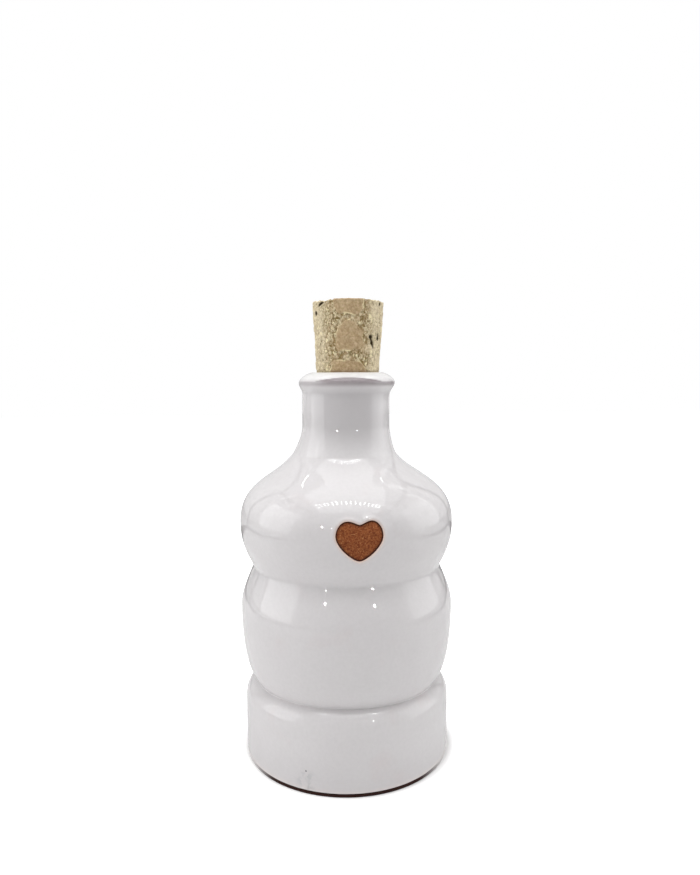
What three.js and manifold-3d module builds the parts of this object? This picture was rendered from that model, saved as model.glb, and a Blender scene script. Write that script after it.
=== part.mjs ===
// A banded earthenware bottle with a white glaze, a heart left bare in the glaze, and a tapered cork.
// Millimetres, +Z up. The origin is the centre of the foot, and the heart faces -Y.

import * as THREE from 'three';
import { mergeVertices } from 'three/addons/utils/BufferGeometryUtils.js';
import Module from 'manifold-3d';

// Heights of the finished bottle, stacked from the table up.
const BASE_WALL_HEIGHT = 20; // straight wall of the base band
const BASE_TOP_HEIGHT = 6.6; // rounded top of the base band, down into the lower groove
const MIDDLE_RISE = 27.7; // lower groove to the widest line of the middle band
const MIDDLE_TOP_HEIGHT = 14.1; // widest line of the middle band to the upper groove
const SHOULDER_RISE = 16.2; // upper groove to the widest line of the shoulder
const SHOULDER_HEIGHT = 33.4; // widest line of the shoulder to the foot of the neck
const NECK_FLARE_HEIGHT = 10.2; // upper part of that height, where the neck flares down to the bend
const NECK_HEIGHT = 11.2; // straight neck, up to the underside of the lip
const LIP_NOSE_HEIGHT = 4.1; // underside of the lip to its nose
const LIP_TOP_HEIGHT = 3.6; // nose of the lip to its crest

// Radii and depths of the finished outside.
const BODY_RADIUS = 38.1; // middle band and shoulder at their widest
const BASE_RADIUS = 36.9;
const LOWER_GROOVE_DEPTH = 5.6;
const UPPER_GROOVE_DEPTH = 4.5;
const NECK_FLARE = 3.05; // bend between shoulder and neck, outside the straight neck
const LIP_OVERHANG = 1.55;

// The hollow inside, with its lining.
const MOUTH_RADIUS = 11.4;
const NECK_WALL = 4.2; // glaze on both faces included
const WALL = 4.6; // glaze on both faces included
const FLOOR = 5.5; // table to the lined floor
const INNER_CORNER = 9; // round between the floor and the wall
const RIM_EDGE = 0.4; // round of the clay on both edges of the rim

// The foot and the glaze.
const FOOT_RING = 10; // width of the ring that the bottle stands on
const FOOT_RECESS = 1;
const FOOT_CHAMFER = 0.4;
const GLAZE = 0.5;
const GLAZE_BOND = 0.02; // hairline between the glaze and the clay it is fired to
const GLAZE_LINE = 1.4; // bare clay between the table and the glaze

// The bare heart in the glaze, cut by hand and so a little uneven.
const HEART_WIDTH = 15.2;
const HEART_HEIGHT = 12.8;
const HEART_LOBES = 7.6; // between the tops of the two lobes
const HEART_NOTCH = 1.2; // depth of the notch below the right lobe
const HEART_CHEEK = 1.6; // widest line above the middle
const HEART_LOBE_DROP = 0.15; // left lobe below the right one
const HEART_SHIFT = 0.15; // notch and lobes to the right of the tip
const HEART_DROP = 0.2; // middle of the heart below the widest line of the shoulder

// The cork.
const CORK_LENGTH = 35;
const CORK_DEPTH = 10.1; // part of the length below the crest of the lip
const CORK_TAPER = 0.061; // growth of the radius per millimetre of height
const CORK_EDGE = 0.5;
const CORK_CLEARANCE = 0.25;

// How a band leaves its widest line and meets its groove, as shares of that curve's height and width.
const BASE_TOP = { upright: 0.61, lean: 0.44, rise: 0.17 };
const MIDDLE_UNDERSIDE = { upright: 0.59, lean: 0.56, rise: 0.1 };
const MIDDLE_TOP = { upright: 0.35, lean: 0.2, rise: 0.22 };
const SHOULDER_UNDERSIDE = { upright: 0.57, lean: 0.27, rise: 0.2 };
const SHOULDER_UPRIGHT = 0.58; // share of the shoulder's height that runs upright at its widest line
const NECK_UPRIGHT = 0.34; // share of the flare that runs upright at the straight neck
const BORE_UPRIGHT = 0.66; // share of the inner shoulder that runs upright below the bore
const BEND_SLOPE = 0.78; // growth of the radius per millimetre of height at the bend
const BEND_TO_SHOULDER = 0.34; // shares of the heights on both sides of the bend that keep its slope
const BEND_TO_NECK = 0.11;
const LIP_UPRIGHT = 0.35; // share of the lip's underside that runs upright at both ends
const LIP_TOP_UPRIGHT = 0.45; // share of the lip's top that runs upright at the nose
const LIP_LEVEL = 0.3; // share of the lip's top that runs level at the crest

// How far each stretch of the heart runs straight on from its ends, as shares of that stretch.
const HEART_ROUND = 0.55; // outer quarter of a lobe, at both ends
const HEART_SIDE = 0.41; // cheek towards the tip
const HEART_TIP = 0.27;
const HEART_DIP = 0.39; // lobe towards the notch
const HEART_CLEFT = 0.2;

// Finishes.
const CLAY_FINISH = { color: 0x82492e, roughness: 0.85, metalness: 0 };
const GLAZE_FINISH = { color: 0xe6e3e3, roughness: 0.15, metalness: 0 };
const LINING_FINISH = { color: 0xdedbd8, roughness: 0.2, metalness: 0 };
const CORK_FINISH = { color: 0xbaa37a, roughness: 0.9, metalness: 0 };

// Fineness of the facets.
const SEGMENTS = 36;
const BAND_STEPS = 4;
const SHOULDER_STEPS = 8;
const LIP_STEPS = 4;
const EDGE_STEPS = 2;
const INSIDE_STEPS = 9;
const CORNER_STEPS = 3;
const HEART_STEPS = 6;
const SAME_POINT = 1e-6; // two points closer than this are one

const wasm = await Module();
wasm.setup();

const at = (x, y) => new THREE.Vector2(x, y);
const share = THREE.MathUtils.lerp;

function cubic(from, fromHandle, toHandle, to, steps) {
  return new THREE.CubicBezierCurve(from, fromHandle, toHandle, to).getPoints(steps);
}

// The curve of a band from its widest line to a groove.
function bandCurve(widest, groove, { upright, lean, rise }) {
  const fromWidest = at(widest.x, share(widest.y, groove.y, upright));
  const intoGroove = at(share(groove.x, widest.x, lean), share(groove.y, widest.y, rise));
  return cubic(widest, fromWidest, intoGroove, groove, BAND_STEPS);
}

function arc(centre, radius, startAngle, endAngle, clockwise, steps) {
  const { x, y } = centre;
  return new THREE.EllipseCurve(x, y, radius, radius, startAngle, endAngle, clockwise).getPoints(steps);
}

// Joins curves end to end and keeps each shared point once.
function joined(...curves) {
  const points = curves.flat();
  return points.filter((point, i) => i === 0 || point.distanceTo(points[i - 1]) > SAME_POINT);
}

// The same outline moved sideways, to the left of the way it runs.
function movedLeft(points, distance) {
  return points.map((point, i) => {
    const before = points[Math.max(i - 1, 0)];
    const after = points[Math.min(i + 1, points.length - 1)];
    const along = after.clone().sub(before).normalize();
    return at(point.x - along.y * distance, point.y + along.x * distance);
  });
}

// An outline of radii and heights turned about the vertical axis.
function turned(points) {
  return new THREE.LatheGeometry(points, SEGMENTS).rotateX(Math.PI / 2);
}

const lowerGroove = at(BODY_RADIUS - LOWER_GROOVE_DEPTH, BASE_WALL_HEIGHT + BASE_TOP_HEIGHT);
const middle = at(BODY_RADIUS, lowerGroove.y + MIDDLE_RISE);
const upperGroove = at(BODY_RADIUS - UPPER_GROOVE_DEPTH, middle.y + MIDDLE_TOP_HEIGHT);
const shoulder = at(BODY_RADIUS, upperGroove.y + SHOULDER_RISE);
const neckFoot = at(MOUTH_RADIUS + NECK_WALL, shoulder.y + SHOULDER_HEIGHT);
const bend = at(neckFoot.x + NECK_FLARE, neckFoot.y - NECK_FLARE_HEIGHT);
const neckTop = at(neckFoot.x, neckFoot.y + NECK_HEIGHT);
const lipNose = at(neckTop.x + LIP_OVERHANG, neckTop.y + LIP_NOSE_HEIGHT);
const rimRound = RIM_EDGE + GLAZE;
const crest = at(MOUTH_RADIUS + rimRound, lipNose.y + LIP_TOP_HEIGHT);

// The finished outside, from the glaze line at the foot up to the crest of the lip.
function outsideOutline() {
  const baseTop = at(BASE_RADIUS, BASE_WALL_HEIGHT);
  const bendHeight = bend.y - shoulder.y;
  const belowBend = bendHeight * BEND_TO_SHOULDER;
  const aboveBend = NECK_FLARE_HEIGHT * BEND_TO_NECK;
  const shoulderCurve = cubic(
    shoulder,
    at(shoulder.x, shoulder.y + bendHeight * SHOULDER_UPRIGHT),
    at(bend.x + belowBend * BEND_SLOPE, bend.y - belowBend),
    bend,
    SHOULDER_STEPS,
  );
  const neckCurve = cubic(
    bend,
    at(bend.x - aboveBend * BEND_SLOPE, bend.y + aboveBend),
    at(neckFoot.x, neckFoot.y - NECK_FLARE_HEIGHT * NECK_UPRIGHT),
    neckFoot,
    BAND_STEPS,
  );
  const lipUnderside = cubic(
    neckTop,
    at(neckTop.x, neckTop.y + LIP_NOSE_HEIGHT * LIP_UPRIGHT),
    at(lipNose.x, lipNose.y - LIP_NOSE_HEIGHT * LIP_UPRIGHT),
    lipNose,
    LIP_STEPS,
  );
  const lipTop = cubic(
    lipNose,
    at(lipNose.x, lipNose.y + LIP_TOP_HEIGHT * LIP_TOP_UPRIGHT),
    at(share(crest.x, lipNose.x, LIP_LEVEL), crest.y),
    crest,
    LIP_STEPS,
  );
  return joined(
    [at(BASE_RADIUS, GLAZE_LINE)],
    bandCurve(baseTop, lowerGroove, BASE_TOP),
    bandCurve(middle, lowerGroove, MIDDLE_UNDERSIDE).reverse(),
    bandCurve(middle, upperGroove, MIDDLE_TOP),
    bandCurve(shoulder, upperGroove, SHOULDER_UNDERSIDE).reverse(),
    shoulderCurve,
    neckCurve,
    lipUnderside,
    lipTop,
  );
}

// The finished inside, from the crest of the lip down the bore and the wall to the middle of the floor.
function insideOutline() {
  const boreFoot = at(MOUTH_RADIUS, neckFoot.y - NECK_WALL);
  const innerShoulder = at(shoulder.x - WALL, shoulder.y);
  const innerBase = at(BASE_RADIUS - WALL, FLOOR + INNER_CORNER);
  const curveHeight = boreFoot.y - innerShoulder.y;
  const rimCentre = at(crest.x, crest.y - rimRound);
  const rimEdge = arc(rimCentre, rimRound, Math.PI / 2, Math.PI, false, EDGE_STEPS);
  const boreCurve = cubic(
    boreFoot,
    at(boreFoot.x, boreFoot.y - curveHeight * BORE_UPRIGHT),
    at(innerShoulder.x, innerShoulder.y + curveHeight * SHOULDER_UPRIGHT),
    innerShoulder,
    SHOULDER_STEPS - 1,
  );
  const wallCurve = new THREE.SplineCurve([
    innerShoulder,
    at(upperGroove.x - WALL, upperGroove.y),
    at(middle.x - WALL, middle.y),
    at(lowerGroove.x - WALL, lowerGroove.y),
    innerBase,
  ]).getPoints(INSIDE_STEPS);
  const cornerCentre = at(innerBase.x - INNER_CORNER, innerBase.y);
  const corner = arc(cornerCentre, INNER_CORNER, 0, -Math.PI / 2, true, CORNER_STEPS);
  return joined(rimEdge, boreCurve, wallCurve, corner, [at(0, FLOOR)]);
}

// Half of the heart's outline, from the tip by a cheek and a lobe to the notch. It runs upright at the
// cheek, and level at the tip, the lobe and the notch.
function halfHeart(tip, cheek, lobe, notch) {
  const offTip = at(share(tip.x, cheek.x, HEART_TIP), tip.y);
  const belowCheek = at(cheek.x, share(cheek.y, tip.y, HEART_SIDE));
  const aboveCheek = at(cheek.x, share(cheek.y, lobe.y, HEART_ROUND));
  const outsideLobe = at(share(lobe.x, cheek.x, HEART_ROUND), lobe.y);
  const insideLobe = at(share(lobe.x, notch.x, HEART_DIP), lobe.y);
  const offNotch = at(share(notch.x, lobe.x, HEART_CLEFT), notch.y);
  return joined(
    cubic(tip, offTip, belowCheek, cheek, HEART_STEPS),
    cubic(cheek, aboveCheek, outsideLobe, lobe, HEART_STEPS),
    cubic(lobe, insideLobe, offNotch, notch, HEART_STEPS),
  );
}

// The heart's outline about its own middle, as seen from the front.
function heartShape() {
  const half = HEART_WIDTH / 2;
  const top = HEART_HEIGHT / 2;
  const tip = at(0, -top);
  const notch = at(HEART_SHIFT, top - HEART_NOTCH);
  const rightLobe = at(HEART_SHIFT + HEART_LOBES / 2, top);
  const leftLobe = at(HEART_SHIFT - HEART_LOBES / 2, top - HEART_LOBE_DROP);
  const right = halfHeart(tip, at(half, HEART_CHEEK), rightLobe, notch);
  const left = halfHeart(tip, at(-half, HEART_CHEEK), leftLobe, notch);
  return new THREE.Shape([...right, ...left.reverse().slice(1, -1)]);
}

// A heart-shaped prism that passes through the front wall of the glaze alone.
function heartCutter() {
  const depth = WALL + GLAZE;
  const prism = new THREE.ExtrudeGeometry(heartShape(), { depth, bevelEnabled: false });
  prism.rotateX(Math.PI / 2);
  prism.translate(0, -(BODY_RADIUS - WALL), shoulder.y - HEART_DROP);
  return prism;
}

function solid(geometry) {
  const bare = geometry.clone();
  bare.deleteAttribute('normal');
  bare.deleteAttribute('uv');
  const merged = mergeVertices(bare);
  const vertProperties = merged.attributes.position.array;
  const triVerts = Uint32Array.from(merged.index.array);
  return new wasm.Manifold(new wasm.Mesh({ numProp: 3, vertProperties, triVerts }));
}

function cutBy(geometry, cutter) {
  const cut = solid(geometry).subtract(solid(cutter)).getMesh();
  const result = new THREE.BufferGeometry();
  result.setAttribute('position', new THREE.BufferAttribute(cut.vertProperties, 3));
  result.setIndex(new THREE.BufferAttribute(cut.triVerts, 1));
  result.computeVertexNormals();
  return result;
}

const outside = outsideOutline();
const crestIndex = outside.length - 1;
const glazeFront = joined(outside, insideOutline());
const glazeBack = movedLeft(glazeFront, GLAZE);
const clayOutline = movedLeft(glazeFront, GLAZE + GLAZE_BOND);

// The fired clay: a hollow vessel on a flat foot ring, bare below the glaze line.
function clayBody() {
  const footRadius = clayOutline[0].x;
  const recessRadius = footRadius - FOOT_RING;
  const foot = [
    at(0, FOOT_RECESS),
    at(recessRadius - FOOT_RECESS, FOOT_RECESS),
    at(recessRadius, 0),
    at(footRadius - FOOT_CHAMFER, 0),
    at(footRadius, FOOT_CHAMFER),
  ];
  return turned([...foot, ...clayOutline]);
}

// The white coat over the outside and the lip, with the heart left open.
function outerGlaze() {
  const front = glazeFront.slice(0, crestIndex + 1);
  const back = glazeBack.slice(0, crestIndex + 1).reverse();
  return cutBy(turned([...front, ...back, front[0]]), heartCutter());
}

// The thin lining of the inside, which meets the outer coat at the crest of the lip.
function innerGlaze() {
  const front = glazeFront.slice(crestIndex);
  const back = glazeBack.slice(crestIndex).reverse();
  return turned([...back, ...front]);
}

function corkStopper() {
  const bottom = crest.y - CORK_DEPTH;
  const top = bottom + CORK_LENGTH;
  const seatRadius = MOUTH_RADIUS - CORK_CLEARANCE;
  const radiusAt = (height) => seatRadius + CORK_TAPER * (height - crest.y);
  return turned([
    at(0, bottom),
    at(radiusAt(bottom) - CORK_EDGE, bottom),
    at(radiusAt(bottom + CORK_EDGE), bottom + CORK_EDGE),
    at(radiusAt(top - CORK_EDGE), top - CORK_EDGE),
    at(radiusAt(top) - CORK_EDGE, top),
    at(0, top),
  ]);
}

function named(name, geometry, finish) {
  const mesh = new THREE.Mesh(geometry, new THREE.MeshStandardMaterial(finish));
  mesh.name = name;
  return mesh;
}

const bottle = new THREE.Group();
bottle.add(
  named('clay_body', clayBody(), CLAY_FINISH),
  named('outer_glaze', outerGlaze(), GLAZE_FINISH),
  named('inner_glaze', innerGlaze(), LINING_FINISH),
);

const part = new THREE.Group();
part.add(bottle, named('cork_stopper', corkStopper(), CORK_FINISH));

export default part;
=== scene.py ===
"""A banded earthenware bottle in white glaze, with a bare clay heart and a cork of pressed granules."""

import math

import bmesh
import bpy
import numpy as np
from mathutils import Matrix, Vector, noise
from mathutils.kdtree import KDTree


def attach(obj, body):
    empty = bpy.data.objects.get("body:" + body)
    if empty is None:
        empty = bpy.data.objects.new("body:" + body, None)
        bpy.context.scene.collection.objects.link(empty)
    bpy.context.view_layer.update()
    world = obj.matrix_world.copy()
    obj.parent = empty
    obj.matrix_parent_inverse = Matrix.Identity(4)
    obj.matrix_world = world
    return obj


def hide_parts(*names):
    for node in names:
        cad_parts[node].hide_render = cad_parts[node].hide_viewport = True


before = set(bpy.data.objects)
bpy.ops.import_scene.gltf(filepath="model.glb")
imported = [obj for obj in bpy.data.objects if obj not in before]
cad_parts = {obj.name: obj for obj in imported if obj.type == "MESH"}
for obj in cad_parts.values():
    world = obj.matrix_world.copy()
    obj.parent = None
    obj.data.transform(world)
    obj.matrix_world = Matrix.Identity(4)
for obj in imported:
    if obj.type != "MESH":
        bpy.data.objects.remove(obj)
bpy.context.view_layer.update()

MM = 0.001

# Heights of the finished bottle, stacked from the table up.
BASE_WALL_HEIGHT = 20 * MM
BASE_TOP_HEIGHT = 6.6 * MM
MIDDLE_RISE = 27.7 * MM
MIDDLE_TOP_HEIGHT = 14.1 * MM
SHOULDER_RISE = 16.2 * MM
SHOULDER_HEIGHT = 33.4 * MM
NECK_FLARE_HEIGHT = 10.2 * MM
NECK_HEIGHT = 11.2 * MM
LIP_NOSE_HEIGHT = 4.1 * MM
LIP_TOP_HEIGHT = 3.6 * MM

# Radii, walls and coats.
BODY_RADIUS = 38.1 * MM
BASE_RADIUS = 36.9 * MM
LOWER_GROOVE_DEPTH = 5.6 * MM
UPPER_GROOVE_DEPTH = 4.5 * MM
GROOVE_FILLET = 0.7 * MM
MOUTH_RADIUS = 11.4 * MM
NECK_WALL = 4.2 * MM
NECK_FLARE = 3.05 * MM
WALL = 4.6 * MM
FLOOR = 5.5 * MM
INNER_CORNER = 9 * MM
LIP_OVERHANG = 1.55 * MM
RIM_ROUND = 0.9 * MM
BEND_SLOPE = 0.78
GLAZE = 0.5 * MM
GLAZE_BOND = 0.02 * MM
GLAZE_LINE = 1.15 * MM
GLAZE_ROLL = 0.45 * MM
GLAZE_IN_MOUTH = 3 * MM
FLARE_LEAN = -0.5 * MM
LIP_LEAN = 0.5 * MM
FOOT_RING = 10 * MM
FOOT_RECESS = 1 * MM
FOOT_CHAMFER = 0.15 * MM
LOWER_LIFT = 1.2 * MM
UPPER_LIFT = 0.5 * MM
LIFT_REACH = 6 * MM
BEND_LEAN_REACH = 5 * MM
LIP_LEAN_REACH = 3 * MM
WOBBLE = 0.06 * MM
WOBBLE_SCALE = 22
TURNING_MARKS = 0.006 * MM
TURNING_SCALES = (8, 8, 320)

# Painted shade and light on the glaze, and the bare foot: a thin-glaze tint with painted shade on the lip's
# face, painted light on the lip's top, painted shade on the front of the neck and above the foot, where the
# foot is bare, and a paler band at the sides of the bare foot. Turns are angles from the camera.
LIP_BAND_TOP = 1.9 * MM
LIP_BAND_DIP = 2.5 * MM
LIP_BAND_SHIFT = 0.06
LIP_BAND_LEAST = 0.5 * MM
LIP_BAND_EDGE = 0.15 * MM
LIP_BAND_FOOT = (-1.8 * MM, 0.1 * MM)
LIP_BAND_DEEPENS = 1.2 * MM
LIP_BAND_FADES = (0.2, 1.2)
RIM_LIGHT_BAND = (0.6 * MM, 1.6 * MM)
SHADED_NECK_TURNS = (1.2, 0.5)
LOW_WALL_SHADE = (16 * MM, 3 * MM)
LOW_WALL_SHADE_SHARE = 0.2
FOOT_ROLL_FADE = 0.6 * MM
BARE_FOOT = (3 * MM, 1.5 * MM)
PALE_SIDE_STARTS = (0.7, 1.15)
PALE_SIDE_ENDS = (2.6, 2)

# The bare heart in the glaze.
HEART_WIDTH = 15.2 * MM
HEART_HEIGHT = 12.8 * MM
HEART_LOBES = 7.6 * MM
HEART_NOTCH = 1.2 * MM
HEART_CHEEK = 1.6 * MM
HEART_LOBE_DROP = 0.15 * MM
HEART_SHIFT = 0.15 * MM
HEART_DROP = 0.2 * MM
WINDOW_MARGIN = 4.2 * MM
BEAD_HEIGHT = 0.2 * MM
BEAD_PLACE = 0.75 * MM
BEAD_WIDTH = 0.45 * MM
EDGE_ROUND = 0.3 * MM
EDGE_SHARE = 0.4
HEART_EDGE_FADE = 0.35 * MM
CLAY_GRAIN = 0.035 * MM
CLAY_GRAIN_SCALES = (1400, 3100)
DROP_SIZE = (1.2 * MM, 0.65 * MM)
DROP_HEIGHT = 0.42 * MM

# The cork.
CORK_LENGTH = 35 * MM
CORK_DEPTH = 10.1 * MM
CORK_TAPER = 0.061
CORK_EDGE = 0.5 * MM
CORK_CLEARANCE = 0.25 * MM
CORK_LEAN_LOW = 0.6 * MM
CORK_LEAN_HIGH = 1 * MM
CORK_FINENESS = 0.25 * MM
GRANULE_COUNT = 110
CRUMB_COUNT = 15000
CORK_SEED = 11
SEAM = 0.75 * MM
SMALL_PITS = 16
CORK_REACH = 13 * MM
CORK_LIT_SIDES = (5.5 * MM, 10 * MM)
CORK_FRONT = (11 * MM, 8 * MM)
CRUMB_STRETCH = (1, 1, 0.75)
RIDGE_HEIGHT = 0.08 * MM
GROOVE_DEPTH = 0.22 * MM
PIT_DEPTH = 0.9 * MM
GRAIN_HEIGHTS = (0.04 * MM, 0.03 * MM)
LIP_SHADE_BELOW = 3 * MM

# Outlines of the large granules that face the front: sideways, and above the cork's foot, in millimetres.
FRONT_GRANULE = (
    (0.5, 28.7), (5.4, 24.3), (5.6, 19.2), (3.7, 17.2), (-3.6, 16.9), (-4.7, 18.8), (-4.6, 23.7), (-2.4, 26.4),
)
TOP_GRANULE = (
    (-5.2, 38), (5.2, 38), (5.4, 31.8), (4.2, 29.8), (2.1, 29.2), (-1.2, 29.7), (-3.3, 29.9), (-5, 31.8),
)
LOW_GRANULE = ((-5.5, 14.6), (4.7, 14.2), (7.7, 10.5), (8.5, 6), (-8.1, 6), (-7, 10.9))
GRANULE_TONES = (0.08, 0.1, 0.04)
GRANULE_HEIGHTS = (0.02 * MM, 0, -0.05 * MM)

# Fineness of the meshes.
SPIN_STEPS = 200
STROKE_STEPS = 16
LINING_SPIN_STEPS = 96
CLAY_SPIN_STEPS = 144
HEART_STROKE_POINTS = 100
HEART_RINGS = (0.75, 0.55, 0.4, 0.29, 0.21, 0.15, 0.105, 0.07, 0.045, 0.025, 0.01, 0)
SAME_POINT = 1e-6
QUARTER_ROUND = 0.5523


def lerp(a, b, share):
    return a + (b - a) * share


LOWER_GROOVE = (BODY_RADIUS - LOWER_GROOVE_DEPTH, BASE_WALL_HEIGHT + BASE_TOP_HEIGHT)
MIDDLE = (BODY_RADIUS, LOWER_GROOVE[1] + MIDDLE_RISE)
UPPER_GROOVE = (BODY_RADIUS - UPPER_GROOVE_DEPTH, MIDDLE[1] + MIDDLE_TOP_HEIGHT)
SHOULDER = (BODY_RADIUS, UPPER_GROOVE[1] + SHOULDER_RISE)
NECK_FOOT = (MOUTH_RADIUS + NECK_WALL, SHOULDER[1] + SHOULDER_HEIGHT)
BEND = (NECK_FOOT[0] + NECK_FLARE, NECK_FOOT[1] - NECK_FLARE_HEIGHT)
NECK_TOP = (NECK_FOOT[0], NECK_FOOT[1] + NECK_HEIGHT)
LIP_NOSE = (NECK_TOP[0] + LIP_OVERHANG, NECK_TOP[1] + LIP_NOSE_HEIGHT)
CREST = (MOUTH_RADIUS + RIM_ROUND, LIP_NOSE[1] + LIP_TOP_HEIGHT)
HEART_CENTRE = SHOULDER[1] - HEART_DROP
DROP_SPOT = (2.3 * MM, HEART_CENTRE + 7.1 * MM)
SPECK_SPOT = (-17.2 * MM, -32.7 * MM, 7.8 * MM)
DENT_SPOT = (-17 * MM, -32.8 * MM, 4 * MM)
CORK_FOOT = CREST[1] - CORK_DEPTH
CAMERA_AZIMUTH = math.radians(-6.4)


# Strokes: each is a start, two handles and an end, as radius and height.

def straight(start, end):
    third = [tuple(lerp(a, b, share) for a, b in zip(start, end)) for share in (1 / 3, 2 / 3)]
    return start, third[0], third[1], end


def upright(start, end, start_share, end_share):
    """A stroke that leaves and arrives straight up or down."""
    return (
        start,
        (start[0], lerp(start[1], end[1], start_share)),
        (end[0], lerp(end[1], start[1], end_share)),
        end,
    )


def band(widest, groove, upright_share, lean, rise):
    """A stroke from the widest line of a band into a groove."""
    return (
        widest,
        (widest[0], lerp(widest[1], groove[1], upright_share)),
        (lerp(groove[0], widest[0], lean), lerp(groove[1], widest[1], rise)),
        groove,
    )


def rounded(start, end, level_first):
    """A quarter round between a level and an upright direction."""
    corner = (end[0], start[1]) if level_first else (start[0], end[1])
    handles = [tuple(lerp(a, b, QUARTER_ROUND) for a, b in zip(place, corner)) for place in (start, end)]
    return start, handles[0], handles[1], end


def outside_strokes():
    """The finished outside, from the rolled edge of the glaze at the foot over the lip and into the mouth."""
    glaze_edge = (BASE_RADIUS - GLAZE, GLAZE_LINE)
    roll_top = (BASE_RADIUS, GLAZE_LINE + GLAZE_ROLL)
    base_top = (BASE_RADIUS, BASE_WALL_HEIGHT)
    mouth = (MOUTH_RADIUS, CREST[1] - RIM_ROUND)
    lip_top = (
        LIP_NOSE,
        (LIP_NOSE[0], lerp(LIP_NOSE[1], CREST[1], 0.45)),
        (lerp(CREST[0], LIP_NOSE[0], 0.3), CREST[1]),
        CREST,
    )
    below_bend = 0.34 * (BEND[1] - SHOULDER[1])
    above_bend = 0.11 * NECK_FLARE_HEIGHT
    round_shoulder = (
        SHOULDER,
        (SHOULDER[0], lerp(SHOULDER[1], BEND[1], 0.58)),
        (BEND[0] + BEND_SLOPE * below_bend, BEND[1] - below_bend),
        BEND,
    )
    flare = (
        BEND,
        (BEND[0] - BEND_SLOPE * above_bend, BEND[1] + above_bend),
        (NECK_FOOT[0], lerp(NECK_FOOT[1], BEND[1], 0.34)),
        NECK_FOOT,
    )
    return [
        rounded(glaze_edge, roll_top, True),
        straight(roll_top, base_top),
        band(base_top, LOWER_GROOVE, 0.61, 0.44, 0.17),
        band(MIDDLE, LOWER_GROOVE, 0.59, 0.56, 0.1)[::-1],
        band(MIDDLE, UPPER_GROOVE, 0.35, 0.2, 0.22),
        band(SHOULDER, UPPER_GROOVE, 0.57, 0.27, 0.2)[::-1],
        round_shoulder,
        flare,
        straight(NECK_FOOT, NECK_TOP),
        upright(NECK_TOP, LIP_NOSE, 0.35, 0.35),
        lip_top,
        rounded(CREST, mouth, True),
        straight(mouth, (MOUTH_RADIUS, mouth[1] - GLAZE_IN_MOUTH)),
    ]


def inside_strokes():
    """The finished inside, from below the rim down the bore and the wall to the middle of the floor."""
    start = (MOUTH_RADIUS, CREST[1] - RIM_ROUND - GLAZE_IN_MOUTH)
    bore_foot = (MOUTH_RADIUS, NECK_FOOT[1] - NECK_WALL)
    stations = [
        (SHOULDER[0] - WALL, SHOULDER[1]),
        (UPPER_GROOVE[0] - WALL, UPPER_GROOVE[1]),
        (MIDDLE[0] - WALL, MIDDLE[1]),
        (LOWER_GROOVE[0] - WALL, LOWER_GROOVE[1]),
        (BASE_RADIUS - WALL, FLOOR + INNER_CORNER),
    ]
    corner_end = (BASE_RADIUS - WALL - INNER_CORNER, FLOOR)
    return [
        straight(start, bore_foot),
        upright(bore_foot, stations[0], 0.66, 0.58),
        *[upright(a, b, 0.4, 0.4) for a, b in zip(stations, stations[1:])],
        rounded(stations[-1], corner_end, False),
        straight(corner_end, (0, FLOOR)),
    ]


def along_stroke(stroke, count):
    """Points along one stroke, without its end."""
    share = np.linspace(0, 1, count, endpoint=False)[:, None]
    a, b, c, d = (np.array(point) for point in stroke)
    rest = 1 - share
    return a * rest**3 + 3 * b * rest**2 * share + 3 * c * rest * share**2 + d * share**3


# Helpers for modelling by hand.

def deselect():
    bpy.ops.object.select_all(action="DESELECT")


def pick(piece):
    """Selects one piece alone and makes it the active one."""
    deselect()
    piece.select_set(True)
    bpy.context.view_layer.objects.active = piece


def edit(piece):
    pick(piece)
    bpy.ops.object.mode_set(mode="EDIT")


def select_faces(piece, wanted):
    """Selects the faces whose middle is wanted, and nothing else."""
    bpy.ops.mesh.select_mode(type="FACE")
    bpy.ops.mesh.select_all(action="DESELECT")
    shell = bmesh.from_edit_mesh(piece.data)
    for face in shell.faces:
        if wanted(face.calc_center_median()):
            face.select_set(True)
    bmesh.update_edit_mesh(piece.data)


def leave_edit():
    bpy.ops.object.mode_set(mode="OBJECT")


def places(piece):
    """The piece's vertices as an array."""
    flat = np.empty(len(piece.data.vertices) * 3, np.float32)
    piece.data.vertices.foreach_get("co", flat)
    return flat.reshape(-1, 3).astype(float)


def place(piece, points):
    piece.data.vertices.foreach_set("co", np.asarray(points, np.float32).ravel())
    piece.data.update()


def apply_modifier(piece, kind, **settings):
    pick(piece)
    modifier = piece.modifiers.new(kind.title(), kind)
    for name, value in settings.items():
        setattr(modifier, name, value)
    bpy.ops.object.modifier_apply(modifier=modifier.name)


def smooth(piece):
    pick(piece)
    bpy.ops.object.shade_smooth()


def write_attribute(piece, name, values):
    attribute = piece.data.attributes.new(name, "FLOAT", "POINT")
    attribute.data.foreach_set("value", np.asarray(values, np.float32))


def bump_over(values, low, high):
    """A smooth step from 0 at low to 1 at high."""
    share = np.clip((values - low) / (high - low), 0, 1)
    return share * share * (3 - 2 * share)


def bell(values, middle, width):
    """1 where the values are at the middle, falling off to 0 on both sides."""
    return np.exp(-(((values - middle) / width) ** 2))


def noise_at(points, scale):
    return np.array([noise.noise(Vector(point) * scale) for point in points])


def out_from_axis(points):
    return np.hypot(points[:, 0], points[:, 1])


def turn_from_camera(points):
    """The angle about the axis, 0 on the side that faces the camera."""
    return np.arctan2(points[:, 0], -points[:, 1]) - CAMERA_AZIMUTH


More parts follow.
